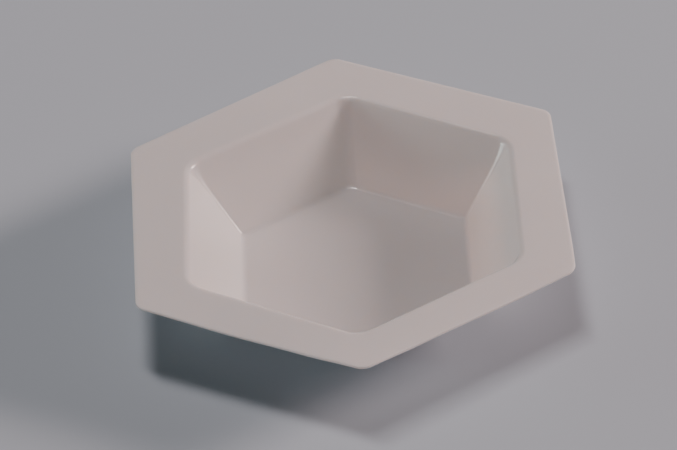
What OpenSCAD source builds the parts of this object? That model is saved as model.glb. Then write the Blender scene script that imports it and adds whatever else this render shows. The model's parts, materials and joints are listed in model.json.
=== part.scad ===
// Hexagonal weighing boat: one thin sheet of white plastic, drawn down into a six-sided
// well with sloping walls and then punched out of the web with a flat rim around it.
// The origin is under the middle of the outline, at the underside of the floor; +Z is up
// and a corner points along -Y.

/* [Rim] */
// Outline of the rim, across its flats
rim_w = 48; // [44:0.5:60]
// Radius of the outline's corners
rim_corner_r = 1.6; // [0.4:0.1:5]

/* [Well] */
// Mouth of the well across its flats, where the walls would meet the top of the rim
mouth_w = 36.5; // [31:0.1:43.8]
// Floor of the well across its flats, where the walls would meet the floor
floor_w = 25.5; // [16:0.5:31]
// Depth of the well, from the top of the rim to the top of the floor
well_depth = 8.5; // [5:0.1:14]
// Radius of the creases between two walls, seen from above
crease_r = 0.5; // [0.35:0.05:1.2]
// Radius of the crease at the back, which came out rounder than the others
back_crease_r = 1.4; // [0.35:0.05:2]
// Radius of the creases at their upper ends, where the rim bend begins
crease_end_r = 2.3; // [0.5:0.1:3]
// Radius of the floor's corners, at the foot of the floor bend
floor_corner_r = 1.5; // [0.6:0.05:2]
// Radius of the floor's back corner, at the foot of the floor bend
back_floor_corner_r = 2.3; // [0.6:0.05:2.6]
// Radius of the mouth's corners, where the rim bend runs out into the rim
mouth_corner_r = 3.6; // [2:0.1:4.4]

/* [Sheet] */
// Thickness of the sheet
sheet = 0.3; // [0.15:0.05:0.6]
// Radius of the bend between walls and floor, inside the well
floor_bend_r = 0.9; // [0.2:0.05:1.5]
// Radius of the bend between walls and rim, on the upper side
rim_bend_r = 1.05; // [0.7:0.05:2]

/* [Trim] */
// How far the well sits to the right of the middle of the outline
well_x = 0.35; // [-1:0.05:1]
// How far the well sits behind the middle of the outline
well_y = -0.7; // [-1:0.05:1]
// How far the well is turned inside the outline, in degrees
well_turn = -1.5; // [-3:0.1:3]

/* [Warp] */
// How far the bent right-front corner of the rim hangs down
bent_drop = 0.48; // [0:0.01:1.5]
// Direction of the crease behind the bent corner, in degrees from +X
crease_angle = 18; // [0:1:40]
// Distance past the crease at which the rim first hangs at its full drop
crease_reach = 3; // [1:0.1:6]
// Length of the rim at the bent corner that hangs at its full drop
bent_run = 6; // [0:0.5:12]
// Length over which the hanging rim comes back up towards the front corner
bent_fade = 15; // [5:0.5:20]
// How far the front corner of the rim stands up
front_lift = 0.3; // [0:0.01:1.5]
// Distance over which the front corner comes back down
front_fade = 8; // [3:0.5:12]
// How far the left-front side of the rim sags
side_sag = 0.16; // [0:0.01:1]
// Distance of the lowest point of the sag from the front corner
side_sag_at = 16.5; // [8:0.5:20]
// Distance over which the sag comes back up
side_fade = 8.5; // [3:0.5:10]

/* [Smoothness] */
// Steps around each corner
corner_steps = 8; // [4:1:12]
// Steps along each straight side
side_steps = 8; // [2:1:12]
// Steps through the floor bend
floor_bend_steps = 3; // [2:1:5]
// Steps through the rim bend
rim_bend_steps = 6; // [3:1:8]
// Steps up the wall
wall_steps = 5; // [2:1:6]
// Steps across the rim
rim_steps = 5; // [2:1:8]

/* [Hidden] */

SIDES = 6;
SIDE_TURN = 360 / SIDES;
HALF_TURN = SIDE_TURN / 2;
// The corner at +Y, counted anticlockwise from +X
BACK_CORNER = 1;
// Directions of the bent corner and of the corner that stands up
RIGHT_FRONT = -HALF_TURN;
FRONT = RIGHT_FRONT - SIDE_TURN;
// How late up the wall the creases open out; the opening grows with this power of the height
CREASE_OPENING = 6;

floor_z = sheet;
rim_z = floor_z + well_depth;
wall_angle = atan2(well_depth, (mouth_w - floor_w) / 2);
floor_foot = floor_w / 2 - floor_bend_r * tan(wall_angle / 2);
rim_foot = mouth_w / 2 + rim_bend_r * tan(wall_angle / 2);

// The radii of the corners, for most of them and for the one at the back
crease_radii = [crease_r, back_crease_r];
crease_end_radii = [crease_end_r, crease_end_r];
floor_corner_radii = [floor_corner_r, back_floor_corner_r];
mouth_corner_radii = [mouth_corner_r, mouth_corner_r];

// A point at a distance and a direction from the origin
function polar(distance, angle) = distance * [cos(angle), sin(angle)];

// From p at share 0 to q at share 1
function blend(p, q, share) = p + (q - p) * share;

// 1 at 0, falling smoothly to 0 at 1 and beyond
function fade(u) = (1 + cos(180 * min(abs(u), 1))) / 2;

function clamp(u) = max(0, min(u, 1));

// Shares from 0 to 1 that lie closer together near both ends
function side_share(i) = (1 - cos(180 * i / side_steps)) / 2;

// The rounded hexagon with flats at a distance from its middle, as points anticlockwise:
// each corner's arc and then the side that follows it. The radii are the one of most
// corners and the one of the back corner.
function corner_point(k, flat, radii, step) =
    let (r = k == BACK_CORNER ? radii[1] : radii[0])
    polar((flat - r) / cos(HALF_TURN), SIDE_TURN * k + HALF_TURN)
    + polar(r, SIDE_TURN * (k + step / corner_steps));

function hexagon(flat, radii) = [
    for (k = [0 : SIDES - 1])
        each concat(
            [for (step = [0 : corner_steps]) corner_point(k, flat, radii, step)],
            [for (i = [1 : side_steps - 1])
                blend(corner_point(k, flat, radii, corner_steps),
                      corner_point(k + 1, flat, radii, 0), side_share(i))]
        )
];

// A point of the well's own plan, put where the well sits in the outline
function seat(p) =
    [p.x * cos(well_turn) - p.y * sin(well_turn) + well_x,
     p.x * sin(well_turn) + p.y * cos(well_turn) + well_y];

// Stations of the upper surface, from the floor to the edge of the rim bend, each as
// [distance of the flats, corner radii, height, slope]. The creases between the walls
// stay sharp for most of their height and open out into rounder corners at both ends.
function floor_bend_station(turned) =
    let (slope = wall_angle * turned)
    [floor_foot + floor_bend_r * sin(slope),
     blend(crease_radii, floor_corner_radii, pow(1 - turned, 2)),
     floor_z + floor_bend_r * (1 - cos(slope)),
     slope];

function rim_bend_station(turned) =
    let (slope = wall_angle * (1 - turned))
    [rim_foot - rim_bend_r * sin(slope),
     blend(mouth_corner_radii, crease_end_radii, sin(slope) / sin(wall_angle)),
     rim_z - rim_bend_r * (1 - cos(slope)),
     slope];

function wall_station(share) =
    let (foot = floor_bend_station(1), top = rim_bend_station(0))
    [blend(foot[0], top[0], share),
     blend(crease_radii, crease_end_radii, pow(share, CREASE_OPENING)),
     blend(foot[2], top[2], share),
     wall_angle];

stations = concat(
    [for (i = [0 : floor_bend_steps - 1]) floor_bend_station(i / floor_bend_steps)],
    [for (i = [0 : wall_steps - 1]) wall_station(1 - pow(1 - i / wall_steps, 2))],
    [for (i = [0 : rim_bend_steps]) rim_bend_station(i / rim_bend_steps)]
);

// A ring of the well at a station; the underside is the upper side moved through the
// sheet along the surface's normal, so the sheet is as thick on the walls as on the rim.
function well_ring(station, depth) =
    let (out = depth * sin(station[3]), z = station[2] - depth * cos(station[3]))
    [for (p = hexagon(station[0] + out, station[1] + [out, out])) concat(seat(p), z)];

// The way clockwise along the outline from a corner
function along(corner) = polar(1, corner - 90 - HALF_TURN);

outline_reach = rim_w / 2 / cos(HALF_TURN);
mouth_reach = mouth_w / 2 / cos(HALF_TURN);
crease_start = seat(polar(mouth_reach, RIGHT_FRONT));
bent_corner = polar(outline_reach, RIGHT_FRONT);
front_corner = polar(outline_reach, FRONT);
side_low = front_corner + side_sag_at * along(FRONT);

// 1 where the rim at the bent corner hangs fully, 0 behind the crease and at the front
function bent_share(p) =
    let (past_crease = (p - crease_start) * polar(1, crease_angle - 90),
         past_corner = (p - bent_corner) * along(RIGHT_FRONT))
    clamp(past_crease / crease_reach) * fade(max(0, past_corner - bent_run) / bent_fade);

// How far a point of the rim lies above the flat rim; the share is 0 at the mouth and 1
// at the cut edge
function lift(p, share) =
    share * (front_lift * fade(norm(p - front_corner) / front_fade)
             - side_sag * fade(norm(p - side_low) / side_fade)
             - bent_drop * bent_share(p));

// A ring across the rim, between the rim bend and the cut edge
mouth_plan = [for (p = hexagon(rim_foot, mouth_corner_radii)) seat(p)];
outline_plan = hexagon(rim_w / 2, [rim_corner_r, rim_corner_r]);

function rim_ring(share, depth) = [
    for (i = [0 : len(mouth_plan) - 1])
        let (p = blend(mouth_plan[i], outline_plan[i], share))
        concat(p, rim_z - depth + lift(p, share))
];

// All rings of one side of the sheet, from the floor out to the cut edge
function sheet_rings(depth) = concat(
    [for (station = stations) well_ring(station, depth)],
    [for (i = [1 : rim_steps]) rim_ring(i / rim_steps, depth)]
);

function reversed(list) = [for (i = [len(list) - 1 : -1 : 0]) list[i]];

// A closed skin around a loop of rings with as many points each
module tube(rings) {
    count = len(rings[0]);
    total = count * len(rings);
    bands = [
        for (first = [0 : count : total - 1], i = [0 : count - 1])
            let (a = first + i, b = first + (i + 1) % count)
            each [[a, b, (b + count) % total], [a, (b + count) % total, (a + count) % total]]
    ];
    polyhedron(points = [for (ring = rings) each ring], faces = bands);
}

// The bent sheet is a frame around the flat floor, which is a plate inside it.
module boat() {
    floor_plan = [for (p = hexagon(floor_foot, floor_corner_radii)) seat(p)];
    color("whitesmoke") {
        tube(concat(sheet_rings(0), reversed(sheet_rings(sheet))));
        linear_extrude(sheet) polygon(floor_plan);
    }
}

boat();
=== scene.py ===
import json
from math import atan2, cos, pi, radians, sin, tan

import bmesh
import bpy
from mathutils import Matrix, Vector

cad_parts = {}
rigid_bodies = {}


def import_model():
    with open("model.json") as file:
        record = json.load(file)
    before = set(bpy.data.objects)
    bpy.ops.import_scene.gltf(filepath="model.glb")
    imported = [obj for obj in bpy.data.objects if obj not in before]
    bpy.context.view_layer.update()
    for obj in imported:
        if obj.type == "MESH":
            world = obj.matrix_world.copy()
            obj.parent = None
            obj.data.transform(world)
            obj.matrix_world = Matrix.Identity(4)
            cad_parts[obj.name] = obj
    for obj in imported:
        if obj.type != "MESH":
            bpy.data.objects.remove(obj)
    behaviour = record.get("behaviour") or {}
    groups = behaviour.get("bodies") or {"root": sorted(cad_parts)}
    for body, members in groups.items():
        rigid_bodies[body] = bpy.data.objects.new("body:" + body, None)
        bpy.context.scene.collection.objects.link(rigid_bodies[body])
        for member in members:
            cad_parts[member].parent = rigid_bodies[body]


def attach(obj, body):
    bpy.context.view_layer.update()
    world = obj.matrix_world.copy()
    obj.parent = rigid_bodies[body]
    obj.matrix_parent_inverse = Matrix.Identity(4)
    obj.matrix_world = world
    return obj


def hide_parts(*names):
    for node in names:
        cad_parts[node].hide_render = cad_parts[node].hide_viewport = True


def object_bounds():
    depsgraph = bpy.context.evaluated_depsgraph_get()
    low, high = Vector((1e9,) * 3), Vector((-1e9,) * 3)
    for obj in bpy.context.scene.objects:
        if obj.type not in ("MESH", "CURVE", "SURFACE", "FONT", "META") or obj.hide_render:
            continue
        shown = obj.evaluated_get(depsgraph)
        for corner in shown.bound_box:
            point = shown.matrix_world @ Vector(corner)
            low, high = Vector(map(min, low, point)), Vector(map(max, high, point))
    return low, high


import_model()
cad_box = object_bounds()


# ---- The boat: its sheet ----------------------------------------------------
# One piece of thin white polystyrene, drawn warm into a six-sided mould and punched
# out with a flat rim. The punch sat a little off the mould, so the rim is wider on
# one side, and handling has bent its corners.
MM = 0.001
SIDES = 6
HALF_TURN = pi / SIDES
CORNER_STEPS = 10
FLOOR_BEND_STEPS = 6
WALL_STEPS = 8
RIM_BEND_STEPS = 10
RIM_CUTS = 11
SIDE_CUTS = 23
SHORTEST_SIDE = 8
# How late up the wall the creases open out: with this power of the height
CREASE_OPENING = 6
EXACT = 0.001
CLOSE = 0.01

# Sizes in millimetres; the finished mesh is scaled down to metres
rim_flat = (cad_box[1].x - cad_box[0].x) / MM / 2
rim_corner_r = 1.6
mouth_flat = 36.5 / 2
floor_flat = 25.5 / 2
well_depth = 8.5
crease_r = 0.5
back_crease_r = 1.4
crease_end_r = 2.3
floor_corner_r = 1.5
back_floor_corner_r = 2.3
mouth_corner_r = 3.6
sheet = 0.3
floor_bend_r = 0.9
rim_bend_r = 1.05
well_place = Vector((0.35, -0.7))
well_turn = radians(-1.5)

rim_z = sheet + well_depth
wall_angle = atan2(well_depth, mouth_flat - floor_flat)
floor_foot = floor_flat - floor_bend_r * tan(wall_angle / 2)
rim_foot = mouth_flat + rim_bend_r * tan(wall_angle / 2)


def select_edges(test):
    """Edit mode: selects the edges whose two ends pass the test, and no others."""
    shell = bmesh.from_edit_mesh(bpy.context.object.data)
    bpy.ops.mesh.select_all(action="DESELECT")
    for edge in shell.edges:
        edge.select_set(test(*(corner.co for corner in edge.verts)))
    bmesh.update_edit_mesh(bpy.context.object.data)


def reach(p, place, turn):
    """How far the hexagon through a point lies from its middle, at its flats."""
    flats = (turn + k * 2 * HALF_TURN for k in range(SIDES))
    return max((p.xy - place).dot(Vector((cos(a), sin(a)))) for a in flats)


def rim_reach(p):
    return reach(p, Vector((0, 0)), 0)


def near(value, goal, slack):
    return abs(value - goal) < slack


def blend(start, end, share):
    return start + (end - start) * share


def add_hexagon(flat, corner_r, back_r, place, turn, height):
    """Edit mode: adds a hexagon with rounded corners; the back one has its own radius."""
    out = flat / cos(HALF_TURN)
    bpy.ops.mesh.select_all(action="DESELECT")
    bpy.ops.mesh.primitive_circle_add(
        vertices=SIDES, radius=out, fill_type="NGON", location=(*place, height),
        rotation=(0, 0, turn))
    bpy.ops.mesh.select_mode(type="VERT")
    # The back corner is rounded first; the corners still standing are then the others
    for radius, from_y in ((back_r, 0.9 * out), (corner_r, -out)):
        bpy.ops.mesh.select_all(action="DESELECT")
        shell = bmesh.from_edit_mesh(bpy.context.object.data)
        for corner in shell.verts:
            way = corner.co - Vector((*place, height))
            corner.select_set(near(way.z, 0, EXACT) and near(way.xy.length, out, EXACT)
                              and way.y > from_y - EXACT)
        bmesh.update_edit_mesh(bpy.context.object.data)
        bpy.ops.mesh.bevel(
            affect="VERTICES", offset=radius * tan(HALF_TURN), segments=CORNER_STEPS)
    bpy.ops.mesh.select_linked()
    bpy.ops.mesh.select_mode(type="EDGE")


def raise_skin(flat, corner_r, back_r, place, turn, height):
    """Edit mode: adds a hexagon and skins the open edge of the sheet out to it."""
    add_hexagon(flat, corner_r, back_r, place, turn, height)
    bpy.ops.mesh.delete(type="ONLY_FACE")
    bpy.ops.mesh.select_non_manifold()
    bpy.ops.mesh.bridge_edge_loops()


def raise_well(flat, corner_r, back_r, height):
    raise_skin(flat, corner_r, back_r, well_place, well_turn, height)


# A stack of hexagons is skinned one by one, and the flat floor comes first.
bpy.ops.object.select_all(action="DESELECT")
bpy.ops.mesh.primitive_circle_add(vertices=3, radius=1)
boat = bpy.context.object
boat.name = boat.data.name = "weighing_boat"
bpy.ops.object.mode_set(mode="EDIT")
bpy.ops.mesh.delete(type="VERT")
bpy.ops.mesh.select_mode(type="EDGE")
add_hexagon(floor_foot, floor_corner_r, back_floor_corner_r, well_place, well_turn, sheet)

# The bend up from the floor, in which its round corners close up into the creases.
for step in range(1, FLOOR_BEND_STEPS):
    turned = step / FLOOR_BEND_STEPS
    slope = wall_angle * turned
    open_share = (1 - turned) ** 2
    raise_well(floor_foot + floor_bend_r * sin(slope),
               blend(crease_r, floor_corner_r, open_share),
               blend(back_crease_r, back_floor_corner_r, open_share),
               sheet + floor_bend_r * (1 - cos(slope)))

# The walls. The creases between them stay sharp for most of their height and open
# out at the top; the one at the back is rounder than the others.
foot_flat = floor_foot + floor_bend_r * sin(wall_angle)
foot_z = sheet + floor_bend_r * (1 - cos(wall_angle))
top_flat = rim_foot - rim_bend_r * sin(wall_angle)
top_z = rim_z - rim_bend_r * (1 - cos(wall_angle))
for step in range(WALL_STEPS):
    share = 1 - (1 - step / WALL_STEPS) ** 2
    raise_well(blend(foot_flat, top_flat, share),
               blend(crease_r, crease_end_r, share ** CREASE_OPENING),
               blend(back_crease_r, crease_end_r, share ** CREASE_OPENING),
               blend(foot_z, top_z, share))

# The bend out into the rim, which ends in the round corners of the mouth.
for step in range(RIM_BEND_STEPS + 1):
    slope = wall_angle * (1 - step / RIM_BEND_STEPS)
    corner_r = blend(mouth_corner_r, crease_end_r, sin(slope) / sin(wall_angle))
    raise_well(rim_foot - rim_bend_r * sin(slope), corner_r, corner_r,
               rim_z - rim_bend_r * (1 - cos(slope)))

# The outline is added above the mouth and let down to its level once it is skinned,
# because a skin between two level hexagons can come out twisted.
DROP = 1
raise_skin(rim_flat, rim_corner_r, rim_corner_r, (0, 0), 0, rim_z + DROP)
select_edges(lambda a, b: min(a.z, b.z) > rim_z + DROP / 2)
bpy.ops.transform.translate(value=(0, 0, -DROP))
bpy.ops.mesh.select_all(action="SELECT")
bpy.ops.mesh.normals_make_consistent(inside=False)

# The outline's round corners come this close to its flats
OUTLINE_BAND = 0.3


def on_outline(p):
    return near(rim_reach(p), rim_flat, OUTLINE_BAND)


# The rim is cut finer both ways, and so are the long straight sides.
select_edges(lambda a, b: near(a.z, rim_z, CLOSE) and near(b.z, rim_z, CLOSE)
             and on_outline(a) != on_outline(b))
bpy.ops.mesh.subdivide(number_cuts=RIM_CUTS)
select_edges(lambda a, b: near(a.z, b.z, CLOSE) and (a - b).length > SHORTEST_SIDE)
bpy.ops.mesh.subdivide(number_cuts=SIDE_CUTS)
bpy.ops.object.mode_set(mode="OBJECT")

# The rim hangs past a crease at its right-front corner, stands up at its front
# corner and sags along its left-front side.
bent_drop, crease_angle, crease_reach, bent_run, bent_fade = 0.48, radians(18), 3, 6, 15
front_lift, front_fade = 0.3, 8
side_sag, side_sag_at, side_fade = 0.16, 16.5, 8.5


def toward(angle, distance=1):
    return Vector((cos(angle), sin(angle))) * distance


def fade(u):
    """1 at 0, falling smoothly to 0 at 1 and beyond."""
    return (1 + cos(pi * min(abs(u), 1))) / 2


bent_way, front_way = -HALF_TURN, -3 * HALF_TURN
bent_corner = toward(bent_way, rim_flat / cos(HALF_TURN))
front_corner = toward(front_way, rim_flat / cos(HALF_TURN))
crease_start = well_place + toward(bent_way + well_turn, mouth_flat / cos(HALF_TURN))
side_low = front_corner + toward(front_way - 4 * HALF_TURN, side_sag_at)


def lift(p, share):
    """How far a point of the rim stands above the flat rim, at a share of its width."""
    past_crease = (p - crease_start).dot(toward(crease_angle - pi / 2))
    past_corner = (p - bent_corner).dot(toward(bent_way - 4 * HALF_TURN))
    bent = min(max(past_crease / crease_reach, 0), 1)
    bent *= fade(max(0, past_corner - bent_run) / bent_fade)
    return share * (front_lift * fade((p - front_corner).length / front_fade)
                    - side_sag * fade((p - side_low).length / side_fade)
                    - bent_drop * bent)


for corner in boat.data.vertices:
    inside = reach(corner.co, well_place, well_turn) - rim_foot
    outside = rim_flat - rim_reach(corner.co)
    if near(corner.co.z, rim_z, EXACT) and inside > 0:
        corner.co.z += lift(corner.co.xy, inside / (inside + outside))

# The sheet's thickness lies under the modelled side. A hair of rounding on the cut
# edge catches the light.
thick = boat.modifiers.new("sheet", "SOLIDIFY")
thick.thickness = sheet
thick.offset = -1
thick.use_even_offset = True
thick.use_quality_normals = True
cut = boat.modifiers.new("cut edge", "BEVEL")
cut.width = 0.06
cut.segments = 2
cut.angle_limit = radians(50)
for step in ("sheet", "cut edge"):
    bpy.ops.object.modifier_apply(modifier=step)
boat.scale = (MM, MM, MM)
bpy.ops.object.transform_apply(location=False, rotation=False, scale=True)
bpy.ops.object.shade_smooth_by_angle(angle=radians(40))
even = boat.modifiers.new("even shading", "WEIGHTED_NORMAL")
even.keep_sharp = True
bpy.ops.object.modifier_apply(modifier="even shading")

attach(boat, "root")
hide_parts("boat")


# ---- The boat: its finish ---------------------------------------------------
# White polystyrene sheet, satin and a little translucent: light that falls on the
# outside of a wall glows through to the inside. The surface is very slightly rough,
# as the mould left it.
CLOUDS, GRAIN, GRIT = 90, 700, 2500  # in waves a metre
plastic = bpy.data.materials.new("white_polystyrene")
plastic.use_nodes = True
nodes, links = plastic.node_tree.nodes, plastic.node_tree.links
shader = nodes["Principled BSDF"]
shader.inputs["IOR"].default_value = 1.5
shader.inputs["Subsurface Weight"].default_value = 1.0
shader.inputs["Subsurface Radius"].default_value = (1.0, 0.85, 0.75)
shader.inputs["Subsurface Scale"].default_value = 0.9 * MM


def node(kind, **settings):
    made = nodes.new(kind)
    for name, value in settings.items():
        setattr(made, name, value)
    return made


place = node("ShaderNodeTexCoord")


def noise(scale, detail=3.0):
    """A noise pattern in the object's own coordinates."""
    made = node("ShaderNodeTexNoise")
    made.inputs["Scale"].default_value = scale
    made.inputs["Detail"].default_value = detail
    links.new(place.outputs["Object"], made.inputs["Vector"])
    return made.outputs["Fac"]


def ramp(value, low, high, dark, light):
    made = node("ShaderNodeMapRange")
    made.inputs["From Min"].default_value = low
    made.inputs["From Max"].default_value = high
    made.inputs["To Min"].default_value = dark
    made.inputs["To Max"].default_value = light
    links.new(value, made.inputs["Value"])
    return made.outputs["Result"]


tint = node("ShaderNodeMix", data_type="RGBA")
tint.inputs["A"].default_value = (0.80, 0.75, 0.735, 1)
tint.inputs["B"].default_value = (0.86, 0.80, 0.78, 1)
links.new(noise(CLOUDS), tint.inputs["Factor"])
links.new(tint.outputs["Result"], shader.inputs["Base Color"])
links.new(ramp(noise(GRAIN), 0.3, 0.7, 0.17, 0.25), shader.inputs["Roughness"])
bump = node("ShaderNodeBump")
bump.inputs["Strength"].default_value = 0.25
bump.inputs["Distance"].default_value = 0.02 * MM
links.new(noise(GRIT, 4.0), bump.inputs["Height"])
links.new(bump.outputs["Normal"], shader.inputs["Normal"])
boat.data.materials.append(plastic)


# ---- The studio -------------------------------------------------------------
# A plain pale floor under the boat.
bpy.ops.object.select_all(action="DESELECT")
bpy.ops.mesh.primitive_plane_add(size=4)
floor = bpy.context.object
floor.name = "floor"
pale = bpy.data.materials.new("pale_floor")
pale.use_nodes = True
matt = pale.node_tree.nodes["Principled BSDF"]
matt.inputs["Base Color"].default_value = (0.50, 0.58, 0.65, 1)
matt.inputs["Roughness"].default_value = 0.8
floor.data.materials.append(pale)


# Soft light: a wide low window on the right, a long lamp overhead, a weaker and lower
# window on the left, and hardly any light from the room around.
def add_window(azimuth, elevation, distance, width, height, watts, colour):
    """A rectangular area light that faces the boat, by its direction from it."""
    turn = (Matrix.Rotation(radians(azimuth), 3, "Z")
            @ Matrix.Rotation(radians(90 - elevation), 3, "X"))
    away = turn @ Vector((0, 0, 1))
    bpy.ops.object.light_add(type="AREA", location=away * distance, rotation=turn.to_euler())
    light = bpy.context.object.data
    light.shape = "RECTANGLE"
    light.size = width
    light.size_y = height
    light.energy = watts
    light.color = colour


add_window(azimuth=99, elevation=23, distance=0.9, width=0.30, height=0.18,
           watts=7.5, colour=(1.0, 0.76, 0.72))
add_window(azimuth=-146.8, elevation=80, distance=0.9, width=0.11, height=0.36,
           watts=3.2, colour=(1.0, 0.86, 0.84))
add_window(azimuth=-98, elevation=9, distance=0.9, width=0.35, height=0.20,
           watts=1.9, colour=(0.90, 1.0, 0.97))
world = bpy.data.worlds.new("room")
world.use_nodes = True
room = world.node_tree.nodes["Background"]
room.inputs["Color"].default_value = (0.95, 0.97, 1.0, 1)
room.inputs["Strength"].default_value = 0.02
bpy.context.scene.world = world


# The camera looks down on the boat from the front, tilted a few degrees.
def add_camera(target, azimuth, elevation, roll, distance, lens):
    turn = (Matrix.Rotation(radians(azimuth), 3, "Z")
            @ Matrix.Rotation(radians(90 - elevation), 3, "X")
            @ Matrix.Rotation(radians(roll), 3, "Z"))
    away = turn @ Vector((0, 0, 1))
    bpy.ops.object.camera_add(location=target + away * distance, rotation=turn.to_euler())
    camera = bpy.context.object
    camera.data.lens = lens
    camera.data.clip_start = 0.01
    bpy.context.scene.camera = camera


add_camera(Vector((-1.24, -3.08, rim_z)) * MM, azimuth=-0.24, elevation=39.25, roll=-5.12,
           distance=435.6 * MM, lens=209.5)
